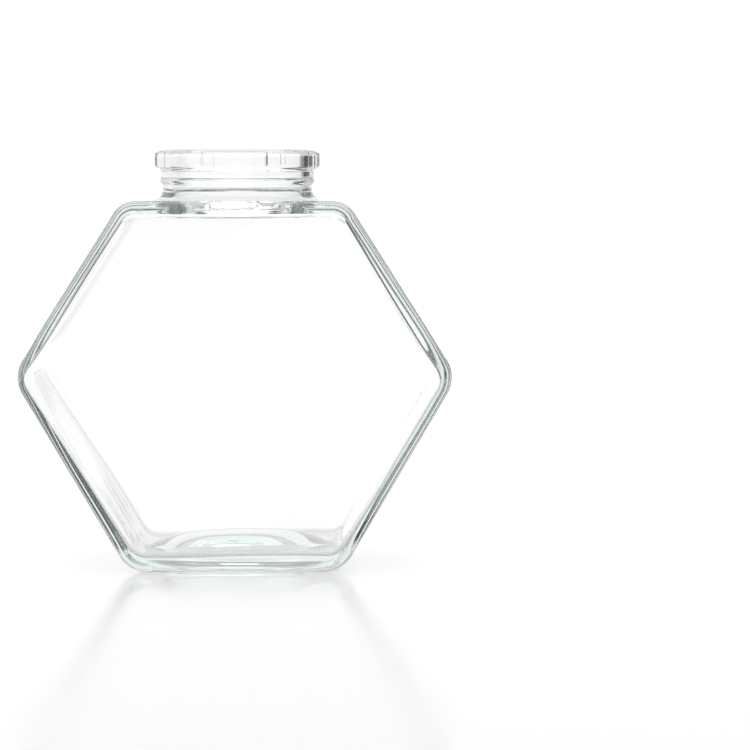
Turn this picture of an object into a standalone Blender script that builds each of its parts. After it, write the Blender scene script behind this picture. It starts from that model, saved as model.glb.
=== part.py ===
"""A flat hexagonal glass jar with a wide round neck, open and empty, as one solid.

The jar stands on its base at z = 0 with the middle of its base at the origin. Its large
hexagonal faces look along -Y and +Y, its side corners point along -X and +X, and its neck
points up along +Z. Run it with: blender --background --python part.py
"""

import math

import bmesh
import bpy
from mathutils import Matrix, Vector

MM = 0.001

# The hexagon seen from the front, as if its corners were sharp.
WIDEST_HALF_WIDTH = 61.6 * MM
SHOULDER_HALF_WIDTH = 31.4 * MM
BASE_HALF_WIDTH = 29.6 * MM
WIDEST_HEIGHT = 55.1 * MM
SHOULDER_HEIGHT = 102.8 * MM
DEPTH = 56.0 * MM

# How round the hexagon's corners are, from the base up, and the edges of its large faces.
OUTER_CORNER_RADII = (9.2 * MM, 9.6 * MM, 8.0 * MM)
INNER_CORNER_RADII = (5.4 * MM, 5.8 * MM, 5.0 * MM)
OUTER_RIM_RADIUS = 6.8 * MM
INNER_RIM_RADIUS = 4.2 * MM

# How thick the glass is.
BASE_THICKNESS = 4.9 * MM
LOWER_WALL = 3.8 * MM
UPPER_WALL = 3.2 * MM
SHOULDER_THICKNESS = 3.6 * MM
FACE_THICKNESS = 3.2 * MM

# The neck, from the top down: a band round the lip, a narrower wall, a fine bead, a waist,
# and a foot that flares out until it nearly touches the planes of the two large faces.
TOP_HEIGHT = 117.0 * MM
BORE_RADIUS = 18.6 * MM
BAND_RADIUS = 22.8 * MM
BAND_HEIGHT = 5.3 * MM
WALL_RADIUS = 21.6 * MM
BEAD_RADIUS = 21.8 * MM
BEAD_HEIGHT = 108.4 * MM
WAIST_RADIUS = 21.0 * MM
SMALL_EDGE = 0.35 * MM
LIP_OUTER_ROUNDING = 1.5 * MM
LIP_INNER_ROUNDING = 1.1 * MM
FOOT_FILLET = 3.4 * MM
FOOT_LIFT = 0.3 * MM
FOOT_GAP = 0.3 * MM
FOOT_ROUNDING = 3.4 * MM
BORE_FLARE = 3.6 * MM

# The low pads round the band, all of one size and evenly spaced.
LUG_COUNT = 6
LUG_FIRST_ANGLE = math.radians(30)
LUG_WIDTH = 5.9 * MM
LUG_HEIGHT = 3.9 * MM
LUG_REACH = 0.45 * MM
LUG_BEVEL = 0.6 * MM
LUG_DEPTH = 2.0 * MM
LUG_BELOW_LIP = 0.75 * MM

# The hollow under the base, and the low dome of the floor inside.
PUNT_HALF_LENGTH = 22.0 * MM
PUNT_HALF_WIDTH = 16.5 * MM
PUNT_HEIGHT = 2.2 * MM
DOME_HALF_LENGTH = 23.0 * MM
DOME_HALF_WIDTH = 19.0 * MM
DOME_HEIGHT = 2.0 * MM

# How far a cutter or a joined piece runs past what it meets.
OVERLAP = 3.0 * MM

# How finely the round shapes are divided.
CORNER_STEPS = 7
OUTER_RIM_STEPS = 5
INNER_RIM_STEPS = 4
ARC_STEPS = 4
NECK_STEPS = 60
BASE_STEPS = 40

GLASS_COLOUR = (0.86, 0.93, 0.90, 1.0)
GLASS_ROUGHNESS = 0.02
GLASS_IOR = 1.52


def clear_scene():
    for thing in list(bpy.data.objects):
        bpy.data.objects.remove(thing)


def new_collection(name):
    collection = bpy.data.collections.new(name)
    bpy.context.scene.collection.children.link(collection)
    return collection


def evaluated_mesh(thing):
    graph = bpy.context.evaluated_depsgraph_get()
    graph.update()
    return bpy.data.meshes.new_from_object(thing.evaluated_get(graph))


def outer_hexagon():
    """Its sharp corners in (x, z), from the right end of the base round to the left end."""
    right = [
        (BASE_HALF_WIDTH, 0.0),
        (WIDEST_HALF_WIDTH, WIDEST_HEIGHT),
        (SHOULDER_HALF_WIDTH, SHOULDER_HEIGHT),
    ]
    left = [(-x, z) for x, z in reversed(right)]
    return [Vector(corner) for corner in right + left]


def inner_hexagon():
    """The outer hexagon with each side moved in by the thickness of the glass there."""
    corners = outer_hexagon()
    walls = [LOWER_WALL, UPPER_WALL, SHOULDER_THICKNESS, UPPER_WALL, LOWER_WALL, BASE_THICKNESS]
    sides = []
    for i, wall in enumerate(walls):
        start = corners[i]
        along = (corners[(i + 1) % 6] - start).normalized()
        inward = Vector((-along.y, along.x))
        sides.append((start + inward * wall, along))
    moved = []
    for i in range(6):
        point, along = sides[i]
        other_point, other_along = sides[i - 1]
        share = (other_point - point).cross(other_along) / along.cross(other_along)
        moved.append(point + along * share)
    return moved


def rounded(corners, radii):
    """The outline with an arc in place of each corner. The radii go from the base up."""
    points = []
    all_radii = list(radii) + list(reversed(radii))
    for i, corner in enumerate(corners):
        back = (corners[i - 1] - corner).normalized()
        onward = (corners[(i + 1) % 6] - corner).normalized()
        half_angle = back.angle(onward) / 2
        radius = all_radii[i]
        centre = corner + (back + onward).normalized() * radius / math.sin(half_angle)
        spoke = corner + back * radius / math.tan(half_angle) - centre
        sweep = math.pi - 2 * half_angle
        for step in range(CORNER_STEPS + 1):
            turn = Matrix.Rotation(sweep * step / CORNER_STEPS, 2)
            points.append(centre + turn @ spoke)
    return points


def arc(centre_r, centre_z, radius, first, last, steps=ARC_STEPS):
    """Points (r, z) on an arc, from one angle in degrees to another."""
    points = []
    for step in range(steps + 1):
        angle = math.radians(first + (last - first) * step / steps)
        points.append((
            centre_r + radius * math.cos(angle),
            centre_z + radius * math.sin(angle),
        ))
    return points


def dome_arc(half_length, height, foot_height, steps=6):
    """Points (r, z) down a shallow round dome, from its middle to its edge."""
    radius = (half_length ** 2 + height ** 2) / (2 * height)
    edge = math.degrees(math.asin(half_length / radius))
    return arc(0.0, foot_height + height - radius, radius, 90, 90 - edge, steps)


def prism(name, outline, depth, rim_radius, rim_steps, collection):
    """An outline in the XZ plane made solid along Y, with its two large faces rounded off."""
    curve = bpy.data.curves.new(name + "_outline", "CURVE")
    curve.dimensions = "2D"
    curve.fill_mode = "BOTH"
    curve.extrude = depth / 2
    spline = curve.splines.new("POLY")
    spline.points.add(len(outline) - 1)
    for point, place in zip(spline.points, outline):
        point.co = (place.x, place.y, 0.0, 1.0)
    spline.use_cyclic_u = True
    flat = bpy.data.objects.new(name + "_outline", curve)
    flat.rotation_euler.x = math.radians(90)
    collection.objects.link(flat)
    mesh = evaluated_mesh(flat)
    solid = bpy.data.objects.new(name, mesh)
    solid.matrix_world = flat.matrix_world
    collection.objects.link(solid)
    bpy.data.objects.remove(flat)

    shape = bmesh.new()
    shape.from_mesh(mesh)
    bmesh.ops.remove_doubles(shape, verts=shape.verts, dist=0.001 * MM)
    bmesh.ops.dissolve_limit(
        shape, angle_limit=math.radians(1), verts=shape.verts, edges=shape.edges
    )
    bmesh.ops.recalc_face_normals(shape, faces=shape.faces)
    shape.to_mesh(mesh)
    shape.free()

    rim = solid.modifiers.new("rim", "BEVEL")
    rim.limit_method = "ANGLE"
    rim.angle_limit = math.radians(60)
    rim.width = rim_radius
    rim.segments = rim_steps
    return solid


def turned(name, profile, steps, collection):
    """A profile of (r, z) points turned round the Z axis. It starts and ends on the axis."""
    mesh = bpy.data.meshes.new(name)
    edges = [(i, i + 1) for i in range(len(profile) - 1)]
    mesh.from_pydata([(r, 0.0, z) for r, z in profile], edges, [])
    solid = bpy.data.objects.new(name, mesh)
    collection.objects.link(solid)
    screw = solid.modifiers.new("turn", "SCREW")
    screw.steps = steps
    screw.render_steps = steps
    screw.use_merge_vertices = True
    screw.merge_threshold = 0.01 * MM
    return solid


def neck_outside(collection):
    foot_top = SHOULDER_HEIGHT + FOOT_LIFT
    foot_radius = DEPTH / 2 - FOOT_GAP
    band_bottom = TOP_HEIGHT - BAND_HEIGHT
    profile = [(0.0, TOP_HEIGHT)]
    profile += arc(
        BAND_RADIUS - LIP_OUTER_ROUNDING, TOP_HEIGHT - LIP_OUTER_ROUNDING,
        LIP_OUTER_ROUNDING, 90, 0,
    )
    profile += [
        (BAND_RADIUS, band_bottom + SMALL_EDGE),
        (BAND_RADIUS - SMALL_EDGE, band_bottom),
        (WALL_RADIUS, band_bottom - SMALL_EDGE),
        (WALL_RADIUS, BEAD_HEIGHT + 2 * SMALL_EDGE),
        (BEAD_RADIUS, BEAD_HEIGHT + SMALL_EDGE),
        (BEAD_RADIUS, BEAD_HEIGHT - SMALL_EDGE),
        (WAIST_RADIUS, BEAD_HEIGHT - 3 * SMALL_EDGE),
    ]
    profile += arc(
        WAIST_RADIUS + FOOT_FILLET, foot_top + FOOT_FILLET, FOOT_FILLET, 180, 270,
    )
    profile += arc(
        foot_radius - FOOT_ROUNDING, foot_top - FOOT_ROUNDING, FOOT_ROUNDING, 90, 0,
    )
    buried = foot_top - FOOT_ROUNDING - OVERLAP
    profile += [(foot_radius - FOOT_ROUNDING, buried), (0.0, buried)]
    return turned("neck_outside", profile, NECK_STEPS, collection)


def neck_inside(collection):
    """The space inside the neck. Its mouth is eased, and it flares out into the body."""
    above = TOP_HEIGHT + OVERLAP
    ceiling = SHOULDER_HEIGHT - SHOULDER_THICKNESS
    profile = [(0.0, above), (BORE_RADIUS + LIP_INNER_ROUNDING, above)]
    profile += arc(
        BORE_RADIUS + LIP_INNER_ROUNDING, TOP_HEIGHT - LIP_INNER_ROUNDING,
        LIP_INNER_ROUNDING, 90, 180,
    )
    profile += arc(BORE_RADIUS + BORE_FLARE, ceiling + BORE_FLARE, BORE_FLARE, 180, 250)
    flare_radius = profile[-1][0]
    profile += [(flare_radius, ceiling - OVERLAP), (0.0, ceiling - OVERLAP)]
    return turned("neck_inside", profile, NECK_STEPS, collection)


def lug(index, collection):
    """One low pad on the band round the lip, as a block with its edges bevelled."""
    angle = LUG_FIRST_ANGLE + 2 * math.pi * index / LUG_COUNT
    radius = BAND_RADIUS + LUG_REACH - LUG_DEPTH / 2
    bpy.ops.mesh.primitive_cube_add(size=1.0)
    block = bpy.context.active_object
    block.name = f"lug_{index + 1}"
    block.data.transform(Matrix.Diagonal((LUG_WIDTH, LUG_DEPTH, LUG_HEIGHT, 1.0)))
    block.location = (
        radius * math.sin(angle),
        -radius * math.cos(angle),
        TOP_HEIGHT - LUG_BELOW_LIP - LUG_HEIGHT / 2,
    )
    block.rotation_euler.z = angle
    for home in list(block.users_collection):
        home.objects.unlink(block)
    collection.objects.link(block)
    edge = block.modifiers.new("edge", "BEVEL")
    edge.width = LUG_BEVEL
    edge.segments = 2
    return block


def joined(solid, pieces):
    """Joins the pieces to the solid with one union, and removes them."""
    union = solid.modifiers.new("joined", "BOOLEAN")
    union.operation = "UNION"
    union.operand_type = "COLLECTION"
    union.collection = pieces
    mesh = evaluated_mesh(solid)
    solid.modifiers.clear()
    solid.data = mesh
    for piece in list(pieces.objects):
        bpy.data.objects.remove(piece)
    bpy.data.collections.remove(pieces)


def cut(solid, cutter, name):
    """Takes the cutter's shape out of the solid."""
    difference = solid.modifiers.new(name, "BOOLEAN")
    difference.operation = "DIFFERENCE"
    difference.object = cutter
    cutter.hide_render = True
    cutter.display_type = "WIRE"


def inside(cutters):
    """The space inside the body, with the low dome of the floor left standing."""
    space = prism(
        "body_inside", rounded(inner_hexagon(), INNER_CORNER_RADII),
        DEPTH - 2 * FACE_THICKNESS, INNER_RIM_RADIUS, INNER_RIM_STEPS, cutters,
    )
    profile = dome_arc(DOME_HALF_LENGTH, DOME_HEIGHT, BASE_THICKNESS)
    profile += [
        (DOME_HALF_LENGTH, BASE_THICKNESS - OVERLAP),
        (0.0, BASE_THICKNESS - OVERLAP),
    ]
    dome = turned("floor_dome", profile, BASE_STEPS, cutters)
    dome.scale.y = DOME_HALF_WIDTH / DOME_HALF_LENGTH
    cut(space, dome, "dome")
    return space


def punt(cutters):
    """The hollow under the base, so that the jar rests on the ring round it."""
    profile = dome_arc(PUNT_HALF_LENGTH, PUNT_HEIGHT, 0.0)
    profile += [(PUNT_HALF_LENGTH, -OVERLAP), (0.0, -OVERLAP)]
    hollow = turned("punt", profile, BASE_STEPS, cutters)
    hollow.scale.y = PUNT_HALF_WIDTH / PUNT_HALF_LENGTH
    return hollow


def glass():
    material = bpy.data.materials.new("clear_glass")
    material.use_nodes = True
    shader = material.node_tree.nodes["Principled BSDF"]
    shader.inputs["Base Color"].default_value = GLASS_COLOUR
    shader.inputs["Metallic"].default_value = 0.0
    shader.inputs["Roughness"].default_value = GLASS_ROUGHNESS
    shader.inputs["IOR"].default_value = GLASS_IOR
    shader.inputs["Transmission Weight"].default_value = 1.0
    return material


def main():
    clear_scene()
    parts = new_collection("hexagonal_glass_jar")
    cutters = new_collection("cutters")
    pieces = new_collection("joined_pieces")

    jar = prism(
        "jar", rounded(outer_hexagon(), OUTER_CORNER_RADII),
        DEPTH, OUTER_RIM_RADIUS, OUTER_RIM_STEPS, parts,
    )
    neck_outside(pieces)
    for index in range(LUG_COUNT):
        lug(index, pieces)
    joined(jar, pieces)

    cut(jar, inside(cutters), "body_inside")
    cut(jar, neck_inside(cutters), "neck_inside")
    cut(jar, punt(cutters), "punt")
    jar.data.materials.clear()
    jar.data.materials.append(glass())
    jar.data.shade_smooth()
    jar.data.set_sharp_from_angle(angle=math.radians(40))


main()
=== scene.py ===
# %% [markdown]
# # A flat hexagonal jar in clear glass
#
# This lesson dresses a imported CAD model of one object: an empty honey jar, pressed and blown
# from clear glass. Clear glass has no colour of its own to paint. All that the eye reads is how
# its surfaces bend the room behind them, so the lesson spends its effort on three things: a
# smooth surface with true roundings and true thickness, a glass that swallows a little light
# on its way through, and a room with bright and dark parts for the edges to pick up.

# %% Load the frame
import math

import bmesh
import bpy
import numpy as np
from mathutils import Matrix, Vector


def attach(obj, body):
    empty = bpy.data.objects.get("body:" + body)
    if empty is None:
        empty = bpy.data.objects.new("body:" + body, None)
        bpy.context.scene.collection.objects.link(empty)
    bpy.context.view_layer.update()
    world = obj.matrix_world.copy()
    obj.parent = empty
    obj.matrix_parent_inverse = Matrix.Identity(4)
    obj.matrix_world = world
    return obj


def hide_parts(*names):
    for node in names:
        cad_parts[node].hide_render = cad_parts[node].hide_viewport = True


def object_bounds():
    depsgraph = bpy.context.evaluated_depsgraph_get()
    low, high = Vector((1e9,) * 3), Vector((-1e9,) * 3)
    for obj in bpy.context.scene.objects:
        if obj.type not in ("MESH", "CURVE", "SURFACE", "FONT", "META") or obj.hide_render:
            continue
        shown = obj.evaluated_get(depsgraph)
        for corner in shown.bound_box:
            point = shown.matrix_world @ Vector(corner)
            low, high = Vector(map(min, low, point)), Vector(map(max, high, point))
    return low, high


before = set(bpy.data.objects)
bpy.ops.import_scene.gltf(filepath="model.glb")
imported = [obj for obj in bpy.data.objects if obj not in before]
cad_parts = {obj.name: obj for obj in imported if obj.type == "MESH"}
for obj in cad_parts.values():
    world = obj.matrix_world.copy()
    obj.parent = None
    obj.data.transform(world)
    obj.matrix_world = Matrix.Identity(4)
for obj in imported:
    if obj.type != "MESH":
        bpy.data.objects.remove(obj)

cad_low, cad_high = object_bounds()
print("CAD box in mm:", [round(1000 * v, 1) for v in (*cad_low, *cad_high)])

# %% [markdown]
# ## The jar's own sizes
#
# The body is a hexagon seen from the front, carried straight back through the depth of the jar,
# with all its edges rounded. The height and the depth are read from the CAD box, and the sizes
# of the hexagon are fitted to the jar's outline. The rims are where the sides meet the two large
# faces. They are fuller below than above, to match how wide the lines along the jar's edges are.

# %% Sizes
MM = 0.001
HALF_WIDTH_AT_CORNERS = 61.6 * MM
HALF_WIDTH_AT_SHOULDER = 30.9 * MM
HALF_WIDTH_AT_BASE = 29.6 * MM
CORNER_HEIGHT = 54.3 * MM
SHOULDER_HEIGHT = 102.8 * MM
TOP_HEIGHT = cad_high.z
HALF_DEPTH = (cad_high.y - cad_low.y) / 2

LOW_CORNER_RADIUS = 9.4 * MM
HIGH_CORNER_RADIUS = 7.4 * MM
LOW_RIM_RADIUS = 6.8 * MM
HIGH_RIM_RADIUS = 3.2 * MM
RIM_CHANGE_HEIGHT = 61 * MM
RIM_CHANGE_WIDTH = 5 * MM
INNER_CORNER_RADIUS = 5.6 * MM
INNER_RIM_RADIUS = 1.3 * MM

BASE_THICKNESS = 4.9 * MM
SHOULDER_THICKNESS = 3.4 * MM
FACE_THICKNESS = 3.0 * MM

print(f"jar: {2000 * HALF_DEPTH:.1f} mm deep and {1000 * TOP_HEIGHT:.1f} mm high")

# %% [markdown]
# ## A surface from a formula
#
# Bevels and Booleans are enough for the CAD solid, but where two rounded shapes cross they leave
# a crease, and glass shows every crease as a hard line. Real molten glass flows round such a
# corner. A distance formula can do the same: each shape is a function that is negative inside it
# and positive outside, and where two of them meet, a soft minimum or maximum melts one into the
# other over a chosen width.

# %% Blending two shapes
def soft_max(first, second, width):
    """The larger of two distances, rounded off where they are within width of each other."""
    share = np.clip(0.5 + (first - second) / (2 * width), 0.0, 1.0)
    return second + (first - second) * share + width * share * (1 - share)


def soft_min(first, second, width):
    return -soft_max(-first, -second, width)


def rise(value, start, width):
    """Climbs smoothly from 0 to 1 as value passes start."""
    return 0.5 + 0.5 * np.tanh((value - start) / width)


def hump(x, y, half_length, half_width):
    """A low round hill over an oval: 1 in its middle, and 0 at the oval and past it."""
    share = np.clip(1 - (x / half_length) ** 2 - (y / half_width) ** 2, 0.0, 1.0)
    return share * (2 - share)


# %% The hexagon and its roundings
def inset(corners, walls):
    """The outline with each side moved in, by one wall at its start and another at its end."""
    sides = []
    for corner, following, (start, end) in zip(corners, corners[1:] + corners[:1], walls):
        along = (following - corner).normalized()
        inward = Vector((-along.y, along.x))
        point = corner + inward * start
        sides.append((point, (following + inward * end - point).normalized()))
    moved = []
    for (point, along), (before, before_along) in zip(sides, sides[-1:] + sides[:-1]):
        share = (before - point).cross(before_along) / along.cross(before_along)
        moved.append(point + along * share)
    return moved


def outline_distance(x, z, corners):
    """How far a point is outside an outline. It is negative inside."""
    nearest = np.full(len(x), 1.0)
    deepest = np.full(len(x), -1.0)
    for corner, following in zip(corners, corners[1:] + corners[:1]):
        side = following - corner
        over_x, over_z = x - corner.x, z - corner.y
        along = np.clip((over_x * side.x + over_z * side.y) / side.length_squared, 0.0, 1.0)
        gap = np.hypot(over_x - side.x * along, over_z - side.y * along)
        nearest = np.minimum(nearest, gap)
        deepest = np.maximum(deepest, (over_x * side.y - over_z * side.x) / side.length)
    return np.where(deepest > 0, nearest, deepest)


SOFT_EDGE = 2.2
ROUND_EDGE = 2.0


def rounded_edge(first, second, radius, power):
    """Where two faces meet, an edge of that radius. A power over 2 eases it in more gently."""
    first, second = first + radius, second + radius
    beyond = np.maximum(first, 0) ** power + np.maximum(second, 0) ** power
    return beyond ** (1 / power) + np.minimum(np.maximum(first, second), 0) - radius


def hexagonal_block(x, y, z, corners, corner_radius, half_depth, rim_radius, rim_power):
    """The hexagon carried through the depth, with its corners and its rims rounded."""
    middles = inset(corners, [(corner_radius, corner_radius)] * len(corners))
    sides = outline_distance(x, z, middles) - corner_radius
    return rounded_edge(sides, np.abs(y) - half_depth, rim_radius, rim_power)


# %% [markdown]
# ## Walls of uneven thickness
#
# A blown jar is never of one thickness. The glass that touches the mould's floor first stays
# thick, and the walls above are stretched thinner, seldom by the same amount on both sides. A
# solid with one even wall shows the same bright and dark lines at both sides, which looks
# machined. Each side here has a wall thickness at its start and another at its end, going round
# from the right end of the base: right side below and above, shoulder, left side above and
# below, and base.

# %% Corners outside and inside
RIGHT_CORNERS = [
    (HALF_WIDTH_AT_BASE, 0.0),
    (HALF_WIDTH_AT_CORNERS, CORNER_HEIGHT),
    (HALF_WIDTH_AT_SHOULDER, SHOULDER_HEIGHT),
]
OUTER_CORNERS = [
    Vector(corner) for corner in RIGHT_CORNERS + [(-x, z) for x, z in reversed(RIGHT_CORNERS)]
]
WALLS = [
    (3.8 * MM, 3.2 * MM),
    (3.7 * MM, 2.9 * MM),
    (SHOULDER_THICKNESS, SHOULDER_THICKNESS),
    (2.9 * MM, 2.8 * MM),
    (2.5 * MM, 4.5 * MM),
    (BASE_THICKNESS, BASE_THICKNESS),
]
INNER_CORNERS = inset(OUTER_CORNERS, WALLS)
print("inner corners in mm:", [tuple(round(1000 * v, 1) for v in c) for c in INNER_CORNERS])

# %% [markdown]
# ## The neck
#
# A jar's neck is the only part that the mould makes to a fine size, because it has to seal. From
# the lip down there is a band with low lugs on it, a plain wall, a fine bead where two parts of
# the mould met, and a waist that flares out into the shoulder. The formula carries neck and bore
# on downwards, to well inside the body, so that they melt into it all round.

# %% Neck sizes and outline
BORE_RADIUS = 18.6 * MM
BAND_RADIUS = 22.8 * MM
BAND_BOTTOM = TOP_HEIGHT - 5.3 * MM
WALL_RADIUS = 21.6 * MM
BEAD_HEIGHT = 108.4 * MM
BEAD_REACH = 0.3 * MM
BEAD_WIDTH = 0.45 * MM
WAIST_RADIUS = 21.0 * MM
WAIST_TOP = BEAD_HEIGHT - 0.9 * MM
STEP_WIDTH = 0.3 * MM
NECK_END = SHOULDER_HEIGHT - 20 * MM
LIP_ROUNDING = 1.5 * MM
MOUTH_ROUNDING = 1.7 * MM
FOOT_BLEND = 4.2 * MM
BORE_BLEND = 5.0 * MM

LUG_ANGLES = [math.radians(30 + 60 * index) for index in range(6)]
LUG_HALF_WIDTH = 2.9 * MM
LUG_TOP = TOP_HEIGHT - 0.8 * MM
LUG_BOTTOM = TOP_HEIGHT - 4.6 * MM
LUG_REACH = 0.5 * MM
LUG_EDGE = 0.17 * MM


def neck_radius(z):
    bead = BEAD_REACH * np.exp(-(((z - BEAD_HEIGHT) / BEAD_WIDTH) ** 2))
    wall = (WALL_RADIUS - WAIST_RADIUS) * rise(z, WAIST_TOP, STEP_WIDTH)
    band = (BAND_RADIUS - WALL_RADIUS) * rise(z, BAND_BOTTOM, STEP_WIDTH)
    return WAIST_RADIUS + wall + band + bead


def lugs(x, y, z):
    """How far the lugs stand out of the band at each point."""
    tall = rise(z, LUG_BOTTOM, LUG_EDGE) * rise(-z, -LUG_TOP, LUG_EDGE)
    total = np.zeros(len(x))
    for angle in LUG_ANGLES:
        ahead = x * math.sin(angle) - y * math.cos(angle)
        aside = np.abs(x * math.cos(angle) + y * math.sin(angle))
        total += (ahead > 0) * rise(-aside, -LUG_HALF_WIDTH, LUG_EDGE)
    return LUG_REACH * total * tall


def neck(x, y, z):
    side = np.hypot(x, y) - neck_radius(z) - lugs(x, y, z)
    return np.maximum(rounded_edge(side, z - TOP_HEIGHT, LIP_ROUNDING, SOFT_EDGE), NECK_END - z)


# %% [markdown]
# ## The base
#
# The floor of such a jar is pushed up from below, so that it stands on a ring and doesn't rock.
# The hollow underneath is the punt. Inside, the floor rises with it, first as a low wide dome
# and then as a longer, narrower crown on top of it. The crown's edge is what shows as an arc
# through the front wall.

# %% Base, inside and the glass between
PUNT_HEIGHT = 2.4 * MM
PUNT_HALF_LENGTH = 23.0 * MM
PUNT_HALF_WIDTH = 18.0 * MM
DOME_HEIGHT = 1.5 * MM
DOME_HALF_LENGTH = 29.0 * MM
DOME_HALF_WIDTH = 25.0 * MM
CROWN_HEIGHT = 2.4 * MM
CROWN_HALF_LENGTH = 26.0 * MM
CROWN_HALF_WIDTH = 14.0 * MM
FLOOR_BLEND = 1.2 * MM

# Each wave: radians per metre along x, y and z, and where it starts.
RIPPLES = [(95, 40, 70, 0.3), (-60, 85, 110, 1.9), (150, -70, 55, 4.1), (40, 120, -150, 2.6)]
RIPPLE_DEPTH = 0.045 * MM
SWELLS = [(60, 8, 75, 0.9), (-80, 12, 48, 3.0)]
SWELL_DEPTH = 0.16 * MM


def waviness(x, y, z):
    """The unevenness that blowing leaves on the inner surface: fine ripples on slow swells."""
    ripples = sum(np.sin(a * x + b * y + c * z + d) for a, b, c, d in RIPPLES)
    swells = sum(np.sin(a * x + b * y + c * z + d) for a, b, c, d in SWELLS)
    return RIPPLE_DEPTH * ripples + SWELL_DEPTH * swells


def outside(x, y, z):
    low = hexagonal_block(
        x, y, z, OUTER_CORNERS, LOW_CORNER_RADIUS, HALF_DEPTH, LOW_RIM_RADIUS, SOFT_EDGE,
    )
    high = hexagonal_block(
        x, y, z, OUTER_CORNERS, HIGH_CORNER_RADIUS, HALF_DEPTH, HIGH_RIM_RADIUS, SOFT_EDGE,
    )
    upward = rise(z, RIM_CHANGE_HEIGHT, RIM_CHANGE_WIDTH)
    body = low * (1 - upward) + high * upward
    punt = (PUNT_HEIGHT + FLOOR_BLEND) * hump(x, y, PUNT_HALF_LENGTH, PUNT_HALF_WIDTH)
    body = soft_max(body, punt - FLOOR_BLEND - z, FLOOR_BLEND)
    return soft_min(body, neck(x, y, z), FOOT_BLEND)


def inside(x, y, z):
    room = hexagonal_block(
        x, y, z, INNER_CORNERS, INNER_CORNER_RADIUS, HALF_DEPTH - FACE_THICKNESS,
        INNER_RIM_RADIUS, ROUND_EDGE,
    )
    dome = (DOME_HEIGHT + FLOOR_BLEND) * hump(x, y, DOME_HALF_LENGTH, DOME_HALF_WIDTH)
    crown = CROWN_HEIGHT * hump(x, y, CROWN_HALF_LENGTH, CROWN_HALF_WIDTH)
    room = soft_max(room, BASE_THICKNESS + dome + crown - FLOOR_BLEND - z, FLOOR_BLEND)
    bore = np.maximum(np.hypot(x, y) - BORE_RADIUS, NECK_END - z)
    return soft_min(room, bore, BORE_BLEND) + waviness(x, y, z)


def glass_distance(places, outer):
    """How far each point is from its own side of the wall. At the lip the two sides melt."""
    x, y, z = places.T
    from_outside, from_inside = outside(x, y, z), -inside(x, y, z)
    melted = soft_max(from_outside, from_inside, MOUTH_ROUNDING)
    return np.where(z > BAND_BOTTOM, melted, np.where(outer, from_outside, from_inside))


# %% [markdown]
# ## Wrapping the formula in a mesh
#
# The formula needs faces to be rendered. A voxel remesh of a copy of the CAD solid gives an
# even net of small quads that is already close to the right place, and each point is then slid
# down the slope of the distance until it lies on the surface. The large faces of the jar are
# nearly flat and need few points, while the rims, the lip and the lugs turn sharply. So the net
# is split wherever the surface turns much over one edge, and nowhere else. A little smoothing
# between slides evens it out. Each point keeps to the side of the wall that it starts on, or a
# point at a tight rim could slide through the glass to the wrong side.
#
# The last slope at each point is its exact normal. Refraction needs that: normals averaged from
# faces make glass look like cellophane.

# %% Helpers that pull a net onto the surface
VOXEL = 1.1 * MM
TURN_LIMIT = math.radians(8)
PROBE = 0.02 * MM
LEAST_STEEPNESS = 0.25
EVENING = 0.5
SPLITS = 2
ROUGH_ROUNDS = 3
FINE_ROUNDS = 5
LAST_SLIDES = 4


def slope(places, outer):
    """The distance formula's gradient, by small differences along each axis."""
    result = np.empty_like(places)
    for axis in range(3):
        step = np.zeros(3)
        step[axis] = PROBE
        ahead = glass_distance(places + step, outer)
        behind = glass_distance(places - step, outer)
        result[:, axis] = (ahead - behind) / (2 * PROBE)
    return result


def exact_normals(places, outer):
    directions = slope(places, outer)
    return directions / np.linalg.norm(directions, axis=1)[:, None]


def settle(places, outer, rounds):
    """Slides each point down the slope, onto the surface."""
    for _ in range(rounds):
        direction = slope(places, outer)
        steepness = np.maximum((direction ** 2).sum(axis=1), LEAST_STEEPNESS)
        places = places - direction * (glass_distance(places, outer) / steepness)[:, None]
    return places


def relax(places, edges):
    """Moves each point part of the way towards the middle of its neighbours."""
    total = np.zeros_like(places)
    count = np.zeros(len(places))
    for near, far in (edges.T, edges.T[::-1]):
        for axis in range(3):
            total[:, axis] += np.bincount(near, places[far, axis], len(places))
        count += np.bincount(near, minlength=len(places))
    return places + (total / count[:, None] - places) * EVENING


# %% Helpers that split the net where it turns
def points_and_edges(mesh):
    places = np.empty(3 * len(mesh.vertices))
    mesh.vertices.foreach_get("co", places)
    edges = np.empty(2 * len(mesh.edges), dtype=int)
    mesh.edges.foreach_get("vertices", edges)
    return places.reshape(-1, 3), edges.reshape(-1, 2)


def on_the_outside(mesh, places):
    """Marks the points whose faces look the way in which the outer surface grows."""
    facing = np.empty(3 * len(mesh.vertices))
    mesh.vertices.foreach_get("normal", facing)
    everywhere = np.ones(len(places), dtype=bool)
    return (slope(places, everywhere) * facing.reshape(-1, 3)).sum(axis=1) > 0


def turning_points(places, outer, edges):
    """Marks the points at each edge that turns more than the limit, and their neighbours."""
    normals = exact_normals(places, outer)
    turning = (normals[edges[:, 0]] * normals[edges[:, 1]]).sum(axis=1) < math.cos(TURN_LIMIT)
    marked = np.zeros(len(places), dtype=bool)
    marked[edges[turning]] = True
    marked[edges[marked[edges].any(axis=1)]] = True
    return marked


def split_between(mesh, marked):
    """Halves every edge between two marked points."""
    net = bmesh.new()
    net.from_mesh(mesh)
    edges = [edge for edge in net.edges if all(marked[vert.index] for vert in edge.verts)]
    bmesh.ops.subdivide_edges(net, edges=edges, cuts=1, use_grid_fill=True)
    bmesh.ops.triangulate(net, faces=[face for face in net.faces if len(face.verts) > 4])
    net.to_mesh(mesh)
    net.free()


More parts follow.
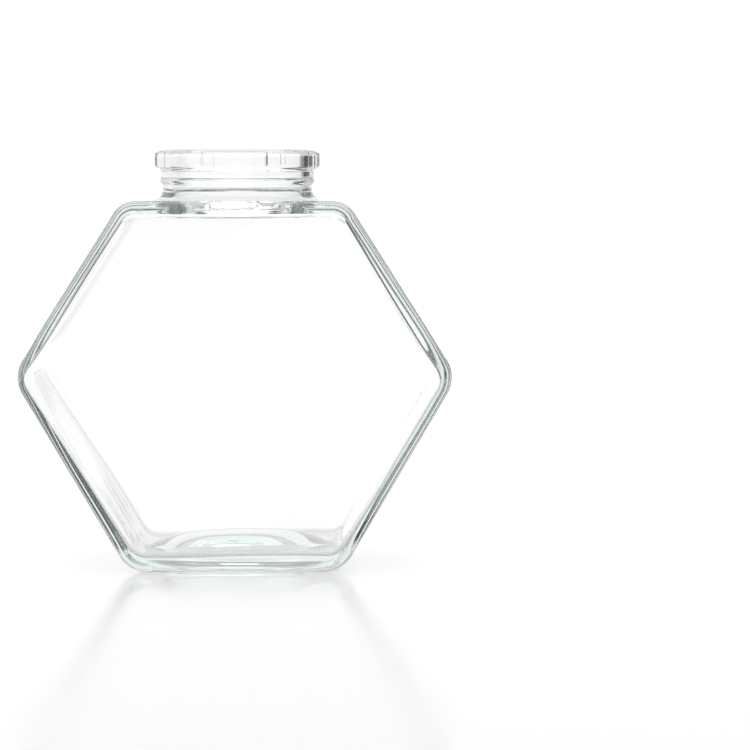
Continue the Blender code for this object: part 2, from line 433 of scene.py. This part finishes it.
# %% Make the glass
def remeshed_copy(source, name):
    mesh = source.data.copy()
    mesh.transform(source.matrix_world)
    piece = bpy.data.objects.new(name, mesh)
    bpy.context.scene.collection.objects.link(piece)
    remesh = piece.modifiers.new("net", "REMESH")
    remesh.mode = "VOXEL"
    remesh.voxel_size = VOXEL
    remesh.adaptivity = 0.0
    graph = bpy.context.evaluated_depsgraph_get()
    piece.data = bpy.data.meshes.new_from_object(piece.evaluated_get(graph))
    piece.modifiers.clear()
    return piece


glass_jar = remeshed_copy(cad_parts["jar"], "glass_jar")
mesh = glass_jar.data
for _ in range(SPLITS):
    places, edges = points_and_edges(mesh)
    outer = on_the_outside(mesh, places)
    for _ in range(ROUGH_ROUNDS):
        places = settle(relax(places, edges), outer, 2)
    mesh.vertices.foreach_set("co", places.ravel())
    split_between(mesh, turning_points(places, outer, edges))
    mesh.update()
    print("net:", len(mesh.vertices), "points")

# %% Even out the net and give it exact normals
places, edges = points_and_edges(mesh)
outer = on_the_outside(mesh, places)
for _ in range(FINE_ROUNDS):
    places = settle(relax(places, edges), outer, 1)
places = settle(places, outer, LAST_SLIDES)
worst = np.abs(glass_distance(places, outer)).max()
print(f"worst distance from the surface: {1e6 * worst:.3f} microns")
mesh.vertices.foreach_set("co", places.ravel())
mesh.shade_smooth()
mesh.normals_split_custom_set_from_vertices(exact_normals(places, outer))
mesh.update()
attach(glass_jar, "root")
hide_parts("jar")
print("glass jar:", len(mesh.vertices), "points and", len(mesh.polygons), "faces")

# %% [markdown]
# ## Clear glass
#
# Window and jar glass bends light by about 1.52. It looks colourless through one wall, and
# green-grey where the light runs along a wall for several centimetres, because a trace of iron
# swallows red and a little blue on the way. That is a property of the inside of the glass, so
# it is a Volume Absorption, not a painted surface.
#
# Molten glass isn't stirred perfectly, and it cools on the mould as it is blown. Both leave
# cords, which are soft ridges a few microns high that run mostly upwards and make straight
# things behind the jar quiver a little. They are too fine for the net to carry, so a stretched
# noise bends the normals instead, through a Bump node.

# %% The glass material
glass = bpy.data.materials.new("clear_glass")
glass.use_nodes = True
nodes, links = glass.node_tree.nodes, glass.node_tree.links
surface = nodes["Principled BSDF"]
surface.inputs["Base Color"].default_value = (1.0, 1.0, 1.0, 1.0)
surface.inputs["Metallic"].default_value = 0.0
surface.inputs["Roughness"].default_value = 0.0
surface.inputs["IOR"].default_value = 1.52
surface.inputs["Transmission Weight"].default_value = 1.0
absorption = nodes.new("ShaderNodeVolumeAbsorption")
absorption.inputs["Color"].default_value = (0.72, 0.79, 0.765, 1.0)
absorption.inputs["Density"].default_value = 15.0
links.new(absorption.outputs["Volume"], nodes["Material Output"].inputs["Volume"])

# %% The cords in the glass
CORD_SPACING = 9.0 * MM
CORD_STRETCH = 0.3
CORD_HEIGHT = 0.004 * MM
glass_place = nodes.new("ShaderNodeTexCoord").outputs["Object"]
stretched = nodes.new("ShaderNodeVectorMath")
stretched.operation = "MULTIPLY"
stretched.inputs[1].default_value = (1.0, 1.0, CORD_STRETCH)
links.new(glass_place, stretched.inputs[0])
cords = nodes.new("ShaderNodeTexNoise")
cords.inputs["Scale"].default_value = 1 / CORD_SPACING
cords.inputs["Detail"].default_value = 1.0
links.new(stretched.outputs["Vector"], cords.inputs["Vector"])
ridges = nodes.new("ShaderNodeBump")
ridges.inputs["Distance"].default_value = CORD_HEIGHT
links.new(cords.outputs["Fac"], ridges.inputs["Height"])
links.new(ridges.outputs["Normal"], surface.inputs["Normal"])
glass_jar.data.materials.clear()
glass_jar.data.materials.append(glass)
print(f"cords: {1000 * CORD_SPACING:.0f} mm apart and {1e6 * CORD_HEIGHT:.0f} microns high")

# %% [markdown]
# ## The floor
#
# The jar stands on a glossy white board. Shaded as plain white, it would turn grey round the
# jar, where the jar stands in its own light. Photographers light such a board from below, and
# here it gives off a little light of its own for the same reason. The gloss is slightly rough,
# so that the base is mirrored clearly where it touches and fades further down.

# %% Floor
FLOOR_RADIUS = 8.0
bpy.ops.mesh.primitive_circle_add(vertices=128, radius=FLOOR_RADIUS, fill_type="NGON")
floor = bpy.context.active_object
floor.name = "floor"
floor_material = bpy.data.materials.new("floor")
floor_material.use_nodes = True
floor_surface = floor_material.node_tree.nodes["Principled BSDF"]
floor_surface.inputs["Base Color"].default_value = (0.3, 0.3, 0.3, 1.0)
floor_surface.inputs["Roughness"].default_value = 0.17
floor_surface.inputs["Specular IOR Level"].default_value = 0.5
floor_surface.inputs["Emission Color"].default_value = (1.0, 1.0, 1.0, 1.0)
floor_surface.inputs["Emission Strength"].default_value = 0.42
floor.data.materials.append(floor_material)
print(f"floor: a disc of {FLOOR_RADIUS:.0f} m, so wide that its edge meets the backdrop")

# %% [markdown]
# ## The room that the glass bends
#
# Clear glass on a white ground would vanish without something dark to bend into its edges. So
# the room is painted in the world shader, by direction alone: a bright backdrop, a soft box
# overhead, the dimmer room behind the camera, a dark gap between backdrop and soft box, and a
# card at each side. The right card is the darker one, and the glass bends it into dark lines in
# the neck and along the sides. Soft steps between the parts keep the reflections from looking
# cut out.

# %% Sky
world = bpy.data.worlds.new("studio")
bpy.context.scene.world = world
world.use_nodes = True
sky = world.node_tree
background = sky.nodes["Background"]


def sky_node(kind, inputs, **settings):
    """Adds a node to the sky, with plain values or links for its inputs, and gives its result."""
    node = sky.nodes.new(kind)
    for name, value in settings.items():
        setattr(node, name, value)
    for place, value in inputs.items():
        if isinstance(value, bpy.types.NodeSocket):
            sky.links.new(value, node.inputs[place])
        else:
            node.inputs[place].default_value = value
    return node.outputs[0]


def ramp(value, start, end, label):
    """Climbs from 0 at start to 1 at end."""
    limits = {"Value": value, "From Min": start, "From Max": end}
    settings = {"interpolation_type": "SMOOTHSTEP", "label": label}
    return sky_node("ShaderNodeMapRange", limits, **settings)


def times(first, second):
    return sky_node("ShaderNodeMath", {0: first, 1: second}, operation="MULTIPLY")


def mixed(share, first, second, label):
    inputs = {0: share, 2: first, 3: second}
    return sky_node("ShaderNodeMix", inputs, data_type="FLOAT", label=label)


direction = sky.nodes.new("ShaderNodeTexCoord").outputs["Generated"]
axes = sky.nodes.new("ShaderNodeSeparateXYZ")
sky.links.new(direction, axes.inputs[0])
across, away, up = axes.outputs

above_backdrop = ramp(up, 0.14, 0.26, "over backdrop")
below_softbox = ramp(up, 0.80, 0.66, "under softbox")
beside = times(ramp(away, 0.75, 0.50, "backdrop edge"), ramp(away, -0.25, 0.0, "gap front"))
gap = times(times(above_backdrop, below_softbox), beside)
right_card = times(ramp(across, 0.32, 0.46, "right card"), ramp(up, 0.62, 0.5, "right card top"))
left_card = times(ramp(across, -0.20, -0.34, "left card"), ramp(up, 0.62, 0.5, "left card top"))
room = ramp(away, -0.10, -0.45, "room")
level = mixed(room, 1.04, 0.72, "backdrop, room")
level = mixed(left_card, level, 0.92, "left card")
level = mixed(right_card, level, 0.10, "right card")
level = mixed(gap, level, 0.10, "gap")
level = mixed(ramp(up, 0.66, 0.80, "softbox"), level, 1.9, "softbox level")
sky.links.new(level, background.inputs["Strength"])
background.inputs["Color"].default_value = (1.0, 1.0, 1.0, 1.0)
print("sky:", len(sky.nodes), "nodes")

# %% [markdown]
# ## The camera
#
# A long lens at three quarters of a metre, a little below the lip and slightly to the right,
# looking down by about four degrees. The Standard view transform keeps the white of the
# backdrop white, which a filmic one would turn grey.

# %% Camera
CAMERA_DISTANCE = 0.75
CAMERA_HEIGHT = 0.106
CAMERA_ASIDE = 0.0300
CAMERA_TURN = math.radians(0.68)
CAMERA_DIP = math.radians(4.023)
LENS = 2642 / 750 * 36
camera_data = bpy.data.cameras.new("camera")
camera_data.lens = LENS
camera_data.sensor_width = 36
camera = bpy.data.objects.new("camera", camera_data)
bpy.context.scene.collection.objects.link(camera)
camera.location = (CAMERA_ASIDE, -CAMERA_DISTANCE, CAMERA_HEIGHT)
camera.rotation_euler = (math.radians(90) - CAMERA_DIP, 0, -CAMERA_TURN)
bpy.context.scene.camera = camera
bpy.context.scene.view_settings.view_transform = "Standard"
print(f"camera: {CAMERA_DISTANCE} m in front and {CAMERA_HEIGHT} m up, lens {LENS:.0f} mm")

# %% [markdown]
# ## Long paths
#
# In the rims of the glass, light is thrown back and forth inside the wall many times before it
# gets out. Cycles gives up after twelve turns by default and leaves black specks there. Thirty-two
# turns let nearly all of them escape.

# %% Long paths
paths = bpy.context.scene.cycles
paths.max_bounces = 32
paths.glossy_bounces = 32
paths.transmission_bounces = 32
print("bounces in glass:", paths.transmission_bounces)
